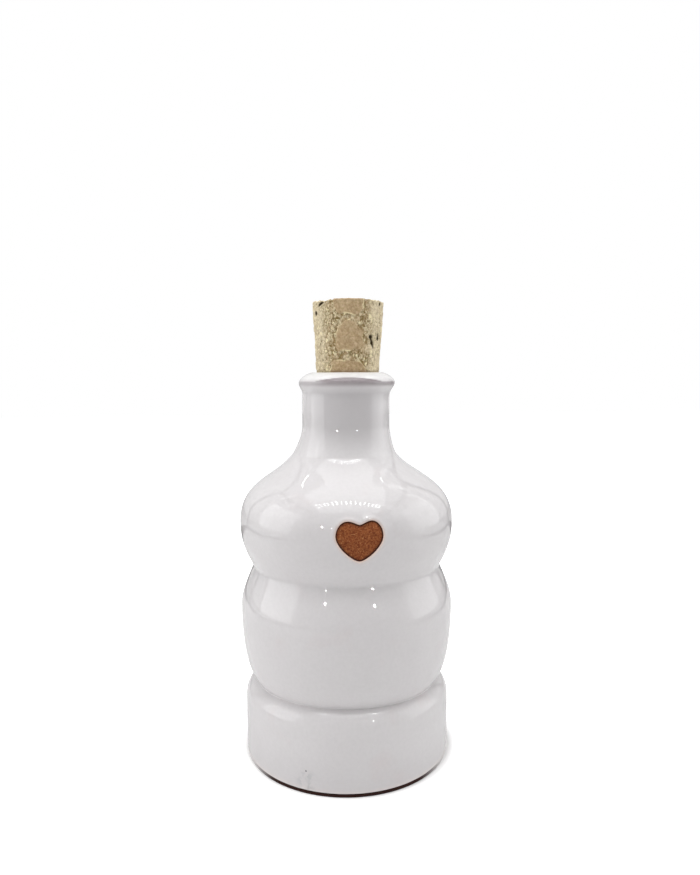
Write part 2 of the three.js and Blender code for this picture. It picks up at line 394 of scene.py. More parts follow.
def drawn_line(name, strokes):
    """Draws strokes end to end as a curve in the plane of X and Z and makes it a line of mesh edges."""
    deselect()
    bpy.ops.curve.primitive_bezier_curve_add()
    line = bpy.context.object
    line.name = name
    line.data.resolution_u = STROKE_STEPS
    spline = line.data.splines[0]
    spline.bezier_points.add(len(strokes) - 1)
    ends = [strokes[0][0]] + [stroke[3] for stroke in strokes]
    before = [strokes[0][0]] + [stroke[2] for stroke in strokes]
    after = [stroke[1] for stroke in strokes] + [strokes[-1][3]]
    for point, left, end, right in zip(spline.bezier_points, before, ends, after):
        point.handle_left_type = "FREE"
        point.handle_right_type = "FREE"
        point.co = (end[0], 0, end[1])
        point.handle_left = (left[0], 0, left[1])
        point.handle_right = (right[0], 0, right[1])
    bpy.ops.object.convert(target="MESH")
    line = bpy.context.object
    line.data.name = name
    return line


def fillet_grooves(line):
    """Rounds the two sharp creases of the outline, where the glaze pools."""
    edit(line)
    drawn = bmesh.from_edit_mesh(line.data)
    for vert in drawn.verts:
        at_groove = any(
            abs(vert.co.x - groove[0]) < SAME_POINT and abs(vert.co.z - groove[1]) < SAME_POINT
            for groove in (LOWER_GROOVE, UPPER_GROOVE)
        )
        vert.select_set(at_groove)
    drawn.select_flush_mode()
    bmesh.update_edit_mesh(line.data)
    bpy.ops.mesh.bevel(offset=GROOVE_FILLET, segments=4, affect="VERTICES")
    leave_edit()


def spin_round(line, steps):
    """Turns the line about the bottle's axis and closes the seam and the poles."""
    edit(line)
    bpy.ops.mesh.select_all(action="SELECT")
    bpy.ops.mesh.spin(steps=steps, angle=2 * math.pi, center=(0, 0, 0), axis=(0, 0, 1))
    bpy.ops.mesh.select_all(action="SELECT")
    bpy.ops.mesh.remove_doubles(threshold=SAME_POINT)
    bpy.ops.mesh.normals_make_consistent(inside=False)
    leave_edit()
    return line


# The heart.

def heart_outline():
    """The heart's edge about its own middle, as many points of sideways place and height."""
    half = HEART_WIDTH / 2
    top = HEART_HEIGHT / 2
    tip = (0, -top)
    notch = (HEART_SHIFT, top - HEART_NOTCH)
    halves = []
    for side, drop in ((1, 0), (-1, HEART_LOBE_DROP)):
        cheek = (side * half, HEART_CHEEK)
        lobe = (HEART_SHIFT + side * HEART_LOBES / 2, top - drop)
        halves.append([
            (tip, (lerp(tip[0], cheek[0], 0.27), tip[1]), (cheek[0], lerp(cheek[1], tip[1], 0.41)), cheek),
            (cheek, (cheek[0], lerp(cheek[1], lobe[1], 0.55)), (lerp(lobe[0], cheek[0], 0.55), lobe[1]), lobe),
            (lobe, (lerp(lobe[0], notch[0], 0.39), lobe[1]), (lerp(notch[0], lobe[0], 0.2), notch[1]), notch),
        ])
    right, left = halves
    strokes = right + [stroke[::-1] for stroke in reversed(left)]
    return np.concatenate([along_stroke(stroke, HEART_STROKE_POINTS) for stroke in strokes])


HEART = heart_outline()
HEART_TREE = KDTree(len(HEART))
for heart_index, (heart_x, heart_z) in enumerate(HEART):
    HEART_TREE.insert((heart_x, 0, heart_z), heart_index)
HEART_TREE.balance()


def heart_distance(points):
    """How far each point lies from the heart's edge, on the front; a long way on the back."""
    far = HEART_WIDTH
    distances = np.full(len(points), far)
    near = (points[:, 1] < 0) & (np.abs(points[:, 0]) < HEART_WIDTH)
    near &= np.abs(points[:, 2] - HEART_CENTRE) < HEART_HEIGHT
    for index in np.flatnonzero(near):
        x, _, z = points[index]
        distances[index] = HEART_TREE.find((x, 0, z - HEART_CENTRE))[2]
    return distances


def heart_edge(points):
    """1 on the heart's edge, fading away from it."""
    return np.exp(-heart_distance(points) / HEART_EDGE_FADE)


def in_heart_window(point):
    across = HEART_WIDTH / 2 + WINDOW_MARGIN
    upward = HEART_HEIGHT / 2 + WINDOW_MARGIN
    turned = abs(math.atan2(point.x, -point.y)) * BODY_RADIUS
    return turned < across and abs(point.z - HEART_CENTRE) < upward


def heart_towards(angles):
    """The points of the heart's edge that lie in the given directions from its middle."""
    own = np.arctan2(HEART[:, 1], HEART[:, 0])
    order = np.argsort(own)
    x = np.interp(angles, own[order], HEART[order, 0], period=2 * math.pi)
    z = np.interp(angles, own[order], HEART[order, 1], period=2 * math.pi)
    return np.stack([x, z], axis=1)


def open_heart_window(glaze, radius_at):
    """Cuts a window in the glaze and closes it again, ring by ring, up to the heart's edge."""
    edit(glaze)
    select_faces(glaze, in_heart_window)
    bpy.ops.mesh.subdivide(number_cuts=1)
    bpy.ops.mesh.delete(type="FACE")
    bpy.ops.mesh.select_mode(type="EDGE")
    bpy.ops.mesh.select_all(action="DESELECT")
    skin = bmesh.from_edit_mesh(glaze.data)
    border = [
        edge for edge in skin.edges
        if edge.is_boundary and abs(edge.verts[0].co.z - HEART_CENTRE) < HEART_HEIGHT
    ]
    for edge in border:
        edge.select_set(True)
    bmesh.update_edit_mesh(glaze.data)
    corners = sorted({vert for edge in border for vert in edge.verts}, key=lambda vert: vert.index)
    start = np.array([(vert.co.x, vert.co.z - HEART_CENTRE) for vert in corners])
    end = heart_towards(np.arctan2(start[:, 1], start[:, 0]))
    last_ring = [vert.co.copy() for vert in corners]
    for share in HEART_RINGS:
        bpy.ops.mesh.extrude_edges_indiv()
        skin = bmesh.from_edit_mesh(glaze.data)
        tree = KDTree(len(last_ring))
        for index, point in enumerate(last_ring):
            tree.insert(point, index)
        tree.balance()
        ring = end + (start - end) * share
        heights = ring[:, 1] + HEART_CENTRE
        depths = -np.sqrt(radius_at(heights) ** 2 - ring[:, 0] ** 2)
        for vert in skin.verts:
            if vert.select:
                index = tree.find(vert.co)[1]
                vert.co = (ring[index, 0], depths[index], heights[index])
        bmesh.update_edit_mesh(glaze.data)
        last_ring = [Vector((x, y, z)) for (x, _), y, z in zip(ring, depths, heights)]
    bpy.ops.mesh.select_mode(type="VERT")
    bpy.ops.mesh.select_all(action="SELECT")
    bpy.ops.mesh.normals_make_consistent(inside=False)
    leave_edit()


# Unevenness of hand work, the same for the clay and its glaze.

def pushed_out(points, push):
    """Points moved away from the bottle's axis."""
    grown = 1 + push / np.maximum(out_from_axis(points), SAME_POINT)
    return points * np.stack([grown, grown, np.ones_like(grown)], axis=1)


def hand_wobble(points):
    """How far the wall swells or sinks, with the faint rings that turning leaves."""
    wave = noise_at(points, WOBBLE_SCALE)
    ring = noise_at(points * np.array(TURNING_SCALES), 1)
    outside = out_from_axis(points) > NECK_FOOT[0] - GLAZE * 2
    return np.where(outside, WOBBLE * wave + TURNING_MARKS * ring, 0)


def hand_lift(points):
    """How much higher the hand-pressed grooves run at the front."""
    front = np.maximum(np.cos(turn_from_camera(points)), 0) ** 2
    outside = out_from_axis(points) > LOWER_GROOVE[0] - 3 * GLAZE
    lower = LOWER_LIFT * bell(points[:, 2], LOWER_GROOVE[1], LIFT_REACH)
    upper = UPPER_LIFT * bell(points[:, 2], UPPER_GROOVE[1], LIFT_REACH)
    return np.where(outside, front * (lower + upper), 0)


def lifted(points):
    return points + np.stack([np.zeros(len(points)), np.zeros(len(points)), hand_lift(points)], axis=1)


def leaned(points, lean):
    """Points moved sideways, by how much the hand-made neck leans there."""
    return points + np.stack([lean, np.zeros_like(lean), np.zeros_like(lean)], axis=1)


def neck_lean(points):
    """The neck starts a little to one side of the axis and ends, at the lip, on the other side."""
    height = points[:, 2]
    inside = out_from_axis(points) < MOUTH_RADIUS + RIM_ROUND
    start = np.where(inside, BEND[1], NECK_TOP[1] - LIP_LEAN_REACH)
    at_bend = FLARE_LEAN * bell(height, BEND[1], BEND_LEAN_REACH)
    at_lip = LIP_LEAN * bump_over(height, start, CREST[1])
    return np.where(height > SHOULDER[1], np.where(inside, 0, at_bend) + at_lip, 0)


def glaze_coat():
    line = drawn_line("glaze_coat", outside_strokes())
    outline = places(line)
    lower = outline[:, 2] < NECK_FOOT[1]
    heights, radii = outline[lower, 2], outline[lower, 0]
    fillet_grooves(line)
    coat = spin_round(line, SPIN_STEPS)
    open_heart_window(coat, lambda z: np.interp(z, heights, radii))
    points = places(coat)
    distance = heart_distance(points)
    bead = BEAD_HEIGHT * bell(distance, BEAD_PLACE, BEAD_WIDTH)
    edge = -EDGE_ROUND * np.exp(-distance / (EDGE_SHARE * EDGE_ROUND))
    drop = DROP_HEIGHT * near_front(points, DROP_SPOT, DROP_SIZE)
    push = hand_wobble(points) + bead + edge + drop
    place(coat, leaned(lifted(pushed_out(points, push)), neck_lean(points)))
    apply_modifier(coat, "SOLIDIFY", thickness=GLAZE, offset=-1, use_rim=True)
    smooth(coat)
    points = places(coat)
    write_attribute(coat, "heart_edge", heart_edge(points))
    write_attribute(coat, "thin_lip_and_shade", thin_lip_and_painted_shade(points))
    write_attribute(coat, "wall_shade", shade_on_wall(points))
    write_attribute(coat, "rim_light", painted_light_on_rim(points))
    write_attribute(coat, "foot_roll", np.exp(-(points[:, 2] - GLAZE_LINE) / FOOT_ROLL_FADE))
    return coat


def near_front(points, spot, size):
    """1 at a spot of the front, given as sideways place and height, and 0 away from it."""
    away = ((points[:, 0] - spot[0]) / size[0]) ** 2 + ((points[:, 2] - spot[1]) / size[1]) ** 2
    return np.where(points[:, 1] < 0, np.exp(-(away**1.5)), 0)


def thin_lip_and_painted_shade(points):
    """Where the lip's face gets a thin-glaze tint with painted shade: a band that dips towards both sides."""
    turn = turn_from_camera(points)
    height = points[:, 2] - LIP_NOSE[1]
    top = np.maximum(LIP_BAND_TOP - LIP_BAND_DIP * (turn - LIP_BAND_SHIFT) ** 2, LIP_BAND_LEAST)
    below_top = bump_over(height, top + LIP_BAND_EDGE, top - LIP_BAND_EDGE)
    above_neck = bump_over(height, *LIP_BAND_FOOT)
    outside = out_from_axis(points) > MOUTH_RADIUS + RIM_ROUND
    deeper = lerp(0.8, 1, bump_over(height, 0, LIP_BAND_DEEPENS))
    fainter = lerp(1, 0.6, bump_over(-turn, *LIP_BAND_FADES))
    return np.where(outside, below_top * above_neck * deeper * fainter, 0)


def painted_light_on_rim(points):
    """Where painted light makes the top of the lip whiter."""
    return bump_over(points[:, 2] - LIP_NOSE[1], *RIM_LIGHT_BAND)


def shade_on_wall(points):
    """Where painted shade darkens the wall: on the front of the neck, and a little above the foot."""
    height = points[:, 2]
    front = bump_over(np.abs(turn_from_camera(points)), *SHADED_NECK_TURNS)
    neck = front * bump_over(height, BEND[1], NECK_FOOT[1]) * bump_over(height, LIP_NOSE[1], NECK_TOP[1])
    return np.maximum(neck, LOW_WALL_SHADE_SHARE * bump_over(height, *LOW_WALL_SHADE))


def lining():
    line = drawn_line("lining", inside_strokes())
    coat = spin_round(line, LINING_SPIN_STEPS)
    edit(coat)
    bpy.ops.mesh.select_all(action="SELECT")
    bpy.ops.mesh.flip_normals()
    leave_edit()
    points = places(coat)
    place(coat, leaned(points, neck_lean(points)))
    apply_modifier(coat, "SOLIDIFY", thickness=GLAZE, offset=-1, use_rim=True)
    smooth(coat)
    return coat


def moved_left(points, distance):
    """A line moved sideways, to the left of the way it runs."""
    before = np.concatenate([points[:1], points[:-1]])
    after = np.concatenate([points[1:], points[-1:]])
    along = after - before
    along /= np.linalg.norm(along, axis=1)[:, None]
    return np.stack([points[:, 0] - along[:, 1] * distance, points[:, 1] + along[:, 0] * distance], axis=1)


def clay_body():
    finished = outside_strokes()[1:] + inside_strokes()
    line = drawn_line("fired_clay", finished)
    points = places(line)
    moved = moved_left(points[:, [0, 2]], GLAZE + GLAZE_BOND)
    moved[-1, 0] = 0
    place(line, np.stack([moved[:, 0], np.zeros(len(moved)), moved[:, 1]], axis=1))
    foot_radius = moved[0, 0]
    recess = foot_radius - FOOT_RING
    foot = [
        (foot_radius, GLAZE_LINE - FOOT_CHAMFER),
        (BASE_RADIUS - FOOT_CHAMFER, GLAZE_LINE - 2 * FOOT_CHAMFER),
        (BASE_RADIUS - FOOT_CHAMFER, FOOT_CHAMFER),
        (BASE_RADIUS - 2 * FOOT_CHAMFER, 0),
        (recess, 0),
        (recess - FOOT_RECESS, FOOT_RECESS),
        (0, FOOT_RECESS),
    ]
    edit(line)
    drawn = bmesh.from_edit_mesh(line.data)
    for vert in drawn.verts:
        vert.select_set(vert.index == 0)
    drawn.select_flush_mode()
    bmesh.update_edit_mesh(line.data)
    last = (moved[0, 0], moved[0, 1])
    for corner in foot:
        step = (corner[0] - last[0], 0, corner[1] - last[1])
        bpy.ops.mesh.extrude_region_move(TRANSFORM_OT_translate={"value": step})
        last = corner
    leave_edit()
    clay = spin_round(line, CLAY_SPIN_STEPS)
    edit(clay)
    select_faces(clay, lambda spot: in_heart_window(spot) and spot.xy.length > BODY_RADIUS - WALL / 2)
    bpy.ops.mesh.subdivide(number_cuts=5)
    bpy.ops.mesh.select_mode(type="VERT")
    leave_edit()
    points = places(clay)
    grain = sum(noise_at(points, scale) for scale in CLAY_GRAIN_SCALES)
    in_window = np.array([in_heart_window(Vector(point)) for point in points])
    push = hand_wobble(points) + np.where(in_window, CLAY_GRAIN * grain, 0)
    place(clay, leaned(lifted(pushed_out(points, push)), neck_lean(points)))
    smooth(clay)
    points = places(clay)
    write_attribute(clay, "heart_edge", heart_edge(points))
    write_attribute(clay, "foot", bump_over(points[:, 2], *BARE_FOOT))
    write_attribute(clay, "paler_sides", paler_foot_sides(points))
    return clay


def paler_foot_sides(points):
    """How much paler the bare foot is made at its sides, between the camera's side and the back."""
    turn = np.abs(turn_from_camera(points))
    return bump_over(points[:, 2], *BARE_FOOT) * bump_over(turn, *PALE_SIDE_STARTS) * bump_over(turn, *PALE_SIDE_ENDS)


# The cork of pressed granules.

def cork_blank():
    """The plain tapered plug, with its ends eased, as an even fine mesh."""
    deselect()
    at_crest = MOUTH_RADIUS - CORK_CLEARANCE
    low = at_crest - CORK_TAPER * CORK_DEPTH
    high = at_crest + CORK_TAPER * (CORK_LENGTH - CORK_DEPTH)
    bpy.ops.mesh.primitive_cone_add(
        vertices=96, radius1=low, radius2=high, depth=CORK_LENGTH, location=(0, 0, CORK_FOOT + CORK_LENGTH / 2))
    cork = bpy.context.object
    cork.name = "pressed_cork"
    bpy.ops.object.transform_apply(location=True, rotation=True, scale=True)
    edit(cork)
    bpy.ops.mesh.select_all(action="DESELECT")
    bpy.ops.mesh.edges_select_sharp(sharpness=math.radians(45))
    bpy.ops.mesh.bevel(offset=CORK_EDGE, segments=3)
    leave_edit()
    apply_modifier(cork, "REMESH", mode="VOXEL", voxel_size=CORK_FINENESS)
    return cork


def around_cork(points):
    """How far round the cork each point lies from the camera's side, and how high above the foot."""
    turn = (turn_from_camera(points) + math.pi) % (2 * math.pi) - math.pi
    return turn * MOUTH_RADIUS, points[:, 2] - CORK_FOOT


def inside_outline(across, height, outline):
    """How deep each place lies inside an outline, less than 0 outside it."""
    corners = np.array(outline) * MM
    away = np.full(len(across), 1.0)
    inside = np.zeros(len(across), bool)
    for (x1, y1), (x2, y2) in zip(corners, np.roll(corners, -1, axis=0)):
        dx, dy = x2 - x1, y2 - y1
        share = np.clip(((across - x1) * dx + (height - y1) * dy) / (dx * dx + dy * dy), 0, 1)
        away = np.minimum(away, np.hypot(across - x1 - share * dx, height - y1 - share * dy))
        crosses = (y1 > height) != (y2 > height)
        inside ^= crosses & (across < x1 + dx * (height - y1) / (dy if dy else SAME_POINT))
    return np.where(inside, away, -away)


def scattered(random, count):
    """Places strewn evenly through the cork."""
    turn = random.uniform(0, 2 * math.pi, count)
    out = CORK_REACH * np.sqrt(random.uniform(0, 1, count))
    up = CORK_FOOT + CORK_LENGTH * random.uniform(-0.02, 1.02, count)
    return np.stack([out * np.cos(turn), out * np.sin(turn), up], axis=1)


def nearest_seeds(points, seeds):
    """The nearest seed of each point, and how far the point lies from the seam with the next one."""
    tree = KDTree(len(seeds))
    for index, seed in enumerate(seeds):
        tree.insert(seed, index)
    tree.balance()
    found = [tree.find_n(point, 2) for point in points]
    own = np.array([pair[0][1] for pair in found])
    seam = np.array([pair[1][2] - pair[0][2] for pair in found])
    return own, seam


def warped(points, reach, scale):
    shifts = [noise_at(points + shift, scale) for shift in (0.0, 0.3, 0.7)]
    return points + np.stack(shifts, axis=1) * reach


def large_granules(points, random):
    """How deep each point lies in a large granule, and the granule's tone, height and smoothness."""
    seeds = scattered(random, GRANULE_COUNT)
    own, seam = nearest_seeds(warped(points, 0.9 * MM, 330), seeds)
    tone = random.uniform(0.1, 0.9, GRANULE_COUNT)[own]
    height = random.uniform(-0.15, 0.1, GRANULE_COUNT)[own] * MM
    smoothness = random.uniform(0, 0.6, GRANULE_COUNT)[own]
    across, above = around_cork(warped(points, 0.55 * MM, 520))
    front = bump_over(np.abs(across), *CORK_FRONT)
    smoothness = smoothness * lerp(1, 0.2, front)
    depth = np.where(front > 0.5, np.minimum(seam, lerp(seam, -1 * MM, 0.4)), seam)
    outlines = (FRONT_GRANULE, TOP_GRANULE, LOW_GRANULE)
    for outline, own_tone, own_height in zip(outlines, GRANULE_TONES, GRANULE_HEIGHTS):
        inside = inside_outline(across, above, outline)
        near = (inside > -1.2 * MM) & (front > 0)
        within = near & (inside > 0)
        depth = np.where(near, np.where(inside > 0, inside, np.minimum(depth, inside)), depth)
        tone = np.where(within, own_tone, tone)
        height = np.where(within, own_height, height)
        smoothness = np.where(within, 1, smoothness)
    return depth, tone, height, smoothness


def dug(points, turn, above, width, tall, slant=0):
    """A hole in the cork's side, 1 in its middle and 0 outside it."""
    away = (np.arctan2(points[:, 0], -points[:, 1]) - turn + math.pi) % (2 * math.pi) - math.pi
    up = points[:, 2] - CORK_FOOT - above
    aside = away * MOUTH_RADIUS + slant * up
    outer = out_from_axis(points) > 0.75 * MOUTH_RADIUS
    return np.where(outer, np.exp(-(((aside / width) ** 2 + (up / tall) ** 2) ** 1.5)), 0)


def holes_in_cork(points, random):
    """The long pore in front, the chips at the sides and the rim, and small pits strewn round the rest."""
    lenticel = dug(points, math.radians(39.5), 20.4 * MM, 0.6 * MM, 2.1 * MM, 0.45)
    lenticel = np.maximum(lenticel, dug(points, math.radians(36), 22.2 * MM, 0.75 * MM, 0.7 * MM))
    top_notch = dug(points, math.radians(-57), 33.9 * MM, 0.8 * MM, 1.15 * MM, -1.3)
    left_chip = dug(points, math.radians(-73), 30.5 * MM, 1 * MM, 0.8 * MM)
    right_chip = dug(points, math.radians(58), 22.3 * MM, 0.9 * MM, 1.3 * MM)
    corner_chip = dug(points, math.radians(57), 33.8 * MM, 0.6 * MM, 0.8 * MM)
    holes = [lenticel, top_notch, left_chip, right_chip, corner_chip]
    for _ in range(SMALL_PITS):
        turn = random.uniform(0.2 * math.pi, 1.7 * math.pi)
        width = random.uniform(0.2, 0.4) * MM
        above = CORK_LENGTH * random.uniform(0.4, 1)
        holes.append(dug(points, turn, above, width, width * random.uniform(1, 2.4)))
    return np.max(holes, axis=0)


def worn_top(points):
    """How much the top is worn down: most at its rim, and least over the large granule in front."""
    across, above = around_cork(points)
    dome = bump_over(np.abs(across), 9 * MM, 3.2 * MM) * (points[:, 1] < 0)
    dome = dome * bump_over(out_from_axis(points), 5 * MM, 9 * MM)
    ragged = 0.35 * MM * noise_at(points, 420) + 0.2 * MM * noise_at(points, 1100)
    drop = lerp(0.3 * MM + ragged, 0.25 * ragged, dome)
    return drop * bump_over(above, CORK_LENGTH - 5 * MM, CORK_LENGTH - 0.3 * MM)


def pressed_cork():
    random = np.random.default_rng(CORK_SEED)
    cork = cork_blank()
    points = places(cork)
    normals = np.empty(points.size, np.float32)
    cork.data.vertices.foreach_get("normal", normals)
    normals = normals.reshape(-1, 3)
    depth, tone, height, smoothness = large_granules(points, random)
    smooth_part = bump_over(depth, 0.15 * MM, SEAM) * smoothness
    stretched = warped(points, 0.45 * MM, 800) * np.array(CRUMB_STRETCH)
    own, seam = nearest_seeds(stretched, scattered(random, CRUMB_COUNT) * np.array(CRUMB_STRETCH))
    crumb_tone = random.uniform(0, 1, CRUMB_COUNT)[own]
    crumb_height = random.uniform(-0.3, 0.1, CRUMB_COUNT)[own] * MM
    loose = (1 - smooth_part) * bump_over(noise_at(points, 210), -0.9, -0.2)
    crumb_groove = (1 - bump_over(seam, 0.02 * MM, 0.2 * MM)) * loose
    border = bell(depth, 0, 0.3 * MM) * bump_over(noise_at(points, 300), -0.15, 0.35)
    groove = np.maximum(crumb_groove, border * 0.75)
    ridge = bell(depth, 0.5 * MM, 0.22 * MM) * bump_over(noise_at(points, 280), 0, 0.4)
    pale_crumb = bump_over(crumb_tone, 0.72, 0.9) * bump_over(seam, 0.12 * MM, 0.3 * MM)
    ridge = np.maximum(ridge, loose * pale_crumb)
    pit = holes_in_cork(points, random)
    raised = height * smooth_part + crumb_height * loose
    raised += RIDGE_HEIGHT * ridge - GROOVE_DEPTH * groove - PIT_DEPTH * pit
    raised += GRAIN_HEIGHTS[0] * noise_at(points, 1200) + GRAIN_HEIGHTS[1] * noise_at(points, 2900)
    in_mouth = points[:, 2] < CREST[1] + 0.5 * MM
    raised = np.where(in_mouth, np.minimum(raised, 0.05 * MM), raised)
    settled = points + normals * raised[:, None]
    settled[:, 2] -= worn_top(points)
    rise = (points[:, 2] - CORK_FOOT) / CORK_LENGTH
    place(cork, leaned(settled, lerp(CORK_LEAN_LOW, CORK_LEAN_HIGH, rise)))
    smooth(cork)
    # Painted light: the cork's sides, as turned from the camera, are made paler, with fainter grooves and loose
    # crumbs.
    aside = bump_over(np.abs(around_cork(points)[0]), *CORK_LIT_SIDES)
    paler = lerp(crumb_tone, tone, np.clip(smooth_part + 0.25, 0, 1))
    write_attribute(cork, "tone", lerp(paler, 1, 0.85 * aside))
    write_attribute(cork, "groove", groove * lerp(1, 0.7, aside))
    write_attribute(cork, "aside", aside)
    write_attribute(cork, "ridge", ridge)
    write_attribute(cork, "pit", pit)
    loosest = np.maximum(np.maximum(loose, border), 0.15)
    write_attribute(cork, "loose", loosest * lerp(1, 0.5, aside))
    # Painted shade in a ring where the cork meets the lip, fading down into the mouth.
    above_lip = points[:, 2] - CREST[1]
    at_lip = bump_over(above_lip, 0.9 * MM, 0.1 * MM) * bump_over(above_lip, -LIP_SHADE_BELOW, 0)
    write_attribute(cork, "at_lip", at_lip)
    return cork


# Materials.

GLAZE_GREY = (0.72, 0.692, 0.702)
GLAZE_WHITE = (0.78, 0.762, 0.764)
GLAZE_BLUSH = (0.72, 0.63, 0.63)
GLAZE_MOTTLE = (0.55, 0.53, 0.53)
WALL_SHADE_GREY = (0.5, 0.48, 0.49)
THIN_LIP_AND_SHADE_GREY = (0.27, 0.228, 0.242)
RIM_PAINTED_WHITE = (0.89, 0.88, 0.88)
FOOT_ROLL_TINT_AND_HIGHLIGHT = (0.9, 0.82, 0.79)
HEART_HALO_TINT_AND_HIGHLIGHT = (0.86, 0.62, 0.5)
SPECK_BLACK = (0.06, 0.055, 0.055)
DENT_PAINTED_SHADE = (0.42, 0.44, 0.46)
CLAY_DARK = (0.16, 0.035, 0.008)
CLAY_LIGHT = (0.36, 0.115, 0.035)
CLAY_PATCH = (0.27, 0.065, 0.02)
CLAY_SPARKLE = (0.58, 0.26, 0.1)
CLAY_EDGE_DARK_AND_SHADE = (0.05, 0.012, 0.005)
CLAY_FOOT_DARK_AND_SHADE = (0.03, 0.008, 0.005)
FOOT_SIDE_PALE = (0.72, 0.69, 0.69)
CORK_BROWN = (0.56, 0.4, 0.24)
CORK_PALE = (0.92, 0.81, 0.57)
CORK_GRAIN = (0.4, 0.28, 0.12)
CORK_PATCH = (0.34, 0.22, 0.11)
CORK_CREAM = (0.8, 0.66, 0.42)
CORK_LINE = (0.95, 0.86, 0.58)
CORK_RIDGE = (0.95, 0.84, 0.52)
CORK_FLECK = (0.2, 0.14, 0.035)
CORK_SIDE_PAINTED_LIGHT = (0.92, 0.82, 0.6)
CORK_GROOVE = (0.24, 0.16, 0.04)
CORK_PIT = (0.05, 0.033, 0.01)
CORK_LIP_SHADE = (0.16, 0.12, 0.07)
UPRIGHT_STRETCH = (1, 1, 0.6)
SPECK_RADII = (0.15 * MM, 0.4 * MM)
DENT_RADII = (2 * MM, 5 * MM)
PEEL_DEPTH = 0.03 * MM
DENT_DEPTH = 0.2 * MM
CLAY_BUMP = 0.15 * MM
CORK_BUMP = 0.2 * MM


def new_finish(name):
    material = bpy.data.materials.new(name)
    material.use_nodes = True
    tree = material.node_tree
    tree.nodes.clear()
    return material, tree


def add(tree, kind, inputs=None, **settings):
    """Adds a node, sets its fields, and fills its inputs with values or links."""
    node = tree.nodes.new(kind)
    for name, value in settings.items():
        setattr(node, name, value)
    for name, value in (inputs or {}).items():
        socket = node.inputs[name]
        if isinstance(value, bpy.types.NodeSocket):
            tree.links.new(value, socket)
        else:
            socket.default_value = value
    return node


def mixed(tree, factor, first, second):
    node = add(tree, "ShaderNodeMix", {"Factor": factor}, data_type="RGBA")
    for name, value in (("A", first), ("B", second)):
        socket = [each for each in node.inputs if each.name == name and each.type == "RGBA"][0]
        if isinstance(value, bpy.types.NodeSocket):
            tree.links.new(value, socket)
        else:
            socket.default_value = (*value, 1)
    return [each for each in node.outputs if each.type == "RGBA"][0]


def scaled(tree, value, low, high, to_low=0, to_high=1):
    """Maps a value from one range to another, held at the ends."""
    return add(tree, "ShaderNodeMapRange", {
        "Value": value, "From Min": low, "From Max": high, "To Min": to_low, "To Max": to_high,
    }).outputs["Result"]


def at_most(tree, share, most):
    """A share from 0 to 1, brought down to a largest share."""
    return scaled(tree, share, 0, 1, 0, most)


def times(tree, first, second):
    return add(tree, "ShaderNodeMath", {0: first, 1: second}, operation="MULTIPLY").outputs[0]


def distance_to(tree, where, spot):
    return add(tree, "ShaderNodeVectorMath", {0: where, 1: spot}, operation="DISTANCE").outputs["Value"]


def carried(tree, name):
    """A value that the mesh itself carries."""
    return add(tree, "ShaderNodeAttribute", attribute_name=name).outputs["Fac"]


def noise_map(tree, where, scale, detail=2, roughness=0.5):
    return add(tree, "ShaderNodeTexNoise", {
        "Vector": where, "Scale": scale, "Detail": detail, "Roughness": roughness,
    }).outputs["Fac"]


def finish_with(tree, colour, roughness, normal, specular=0.5):
    shader = add(tree, "ShaderNodeBsdfPrincipled", {
        "Base Color": colour, "Roughness": roughness, "Normal": normal, "Specular IOR Level": specular,
    })
    add(tree, "ShaderNodeOutputMaterial", {"Surface": shader.outputs["BSDF"]})


def white_glaze(name="white_glaze"):
    material, tree = new_finish(name)
    where = add(tree, "ShaderNodeTexCoord").outputs["Object"]
    cloud = noise_map(tree, where, 45, 3)
    colour = mixed(tree, cloud, GLAZE_GREY, GLAZE_WHITE)
    blush = scaled(tree, noise_map(tree, where, 75, 3), 0.6, 0.8, 0, 0.35)
    colour = mixed(tree, blush, colour, GLAZE_BLUSH)
    # Painted shade on the front of the neck and a little above the foot.
    colour = mixed(tree, at_most(tree, carried(tree, "wall_shade"), 0.6), colour, WALL_SHADE_GREY)
    # Painted light whitening the top of the lip.
    colour = mixed(tree, carried(tree, "rim_light"), colour, RIM_PAINTED_WHITE)
    # A thin-glaze tint with painted shade on the face of the lip.
    colour = mixed(tree, carried(tree, "thin_lip_and_shade"), colour, THIN_LIP_AND_SHADE_GREY)
    # A pink thin-glaze tint with a painted highlight along the rolled edge of the glaze at the foot.
    colour = mixed(tree, carried(tree, "foot_roll"), colour, FOOT_ROLL_TINT_AND_HIGHLIGHT)
    # A warm thin-glaze tint with a painted highlight round the heart's edge.
    colour = mixed(tree, carried(tree, "heart_edge"), colour, HEART_HALO_TINT_AND_HIGHLIGHT)
    mottle = scaled(tree, noise_map(tree, where, 900, 2), 0.3, 0.7, 0, 0.12)
    colour = mixed(tree, mottle, colour, GLAZE_MOTTLE)
    speck = scaled(tree, distance_to(tree, where, SPECK_SPOT), *SPECK_RADII, 0.9, 0)
    colour = mixed(tree, speck, colour, SPECK_BLACK)
    peel = noise_map(tree, where, 500, 2)
    bump = add(tree, "ShaderNodeBump", {"Height": peel, "Strength": 0.1, "Distance": PEEL_DEPTH})
    dented = scaled(tree, distance_to(tree, where, DENT_SPOT), *DENT_RADII, 1, 0)
    dent = times(tree, scaled(tree, noise_map(tree, where, 420, 2), 0.5, 0.62), dented)
    bump = add(tree, "ShaderNodeBump", {
        "Height": dent, "Strength": 0.8, "Distance": DENT_DEPTH, "Normal": bump.outputs["Normal"],
    }, invert=True)
    # Painted shade greying the dents.
    colour = mixed(tree, at_most(tree, dent, 0.3), colour, DENT_PAINTED_SHADE)
    roughness = scaled(tree, noise_map(tree, where, 130, 3), 0.3, 0.7, 0.01, 0.03)
    finish_with(tree, colour, roughness, bump.outputs["Normal"])
    return material


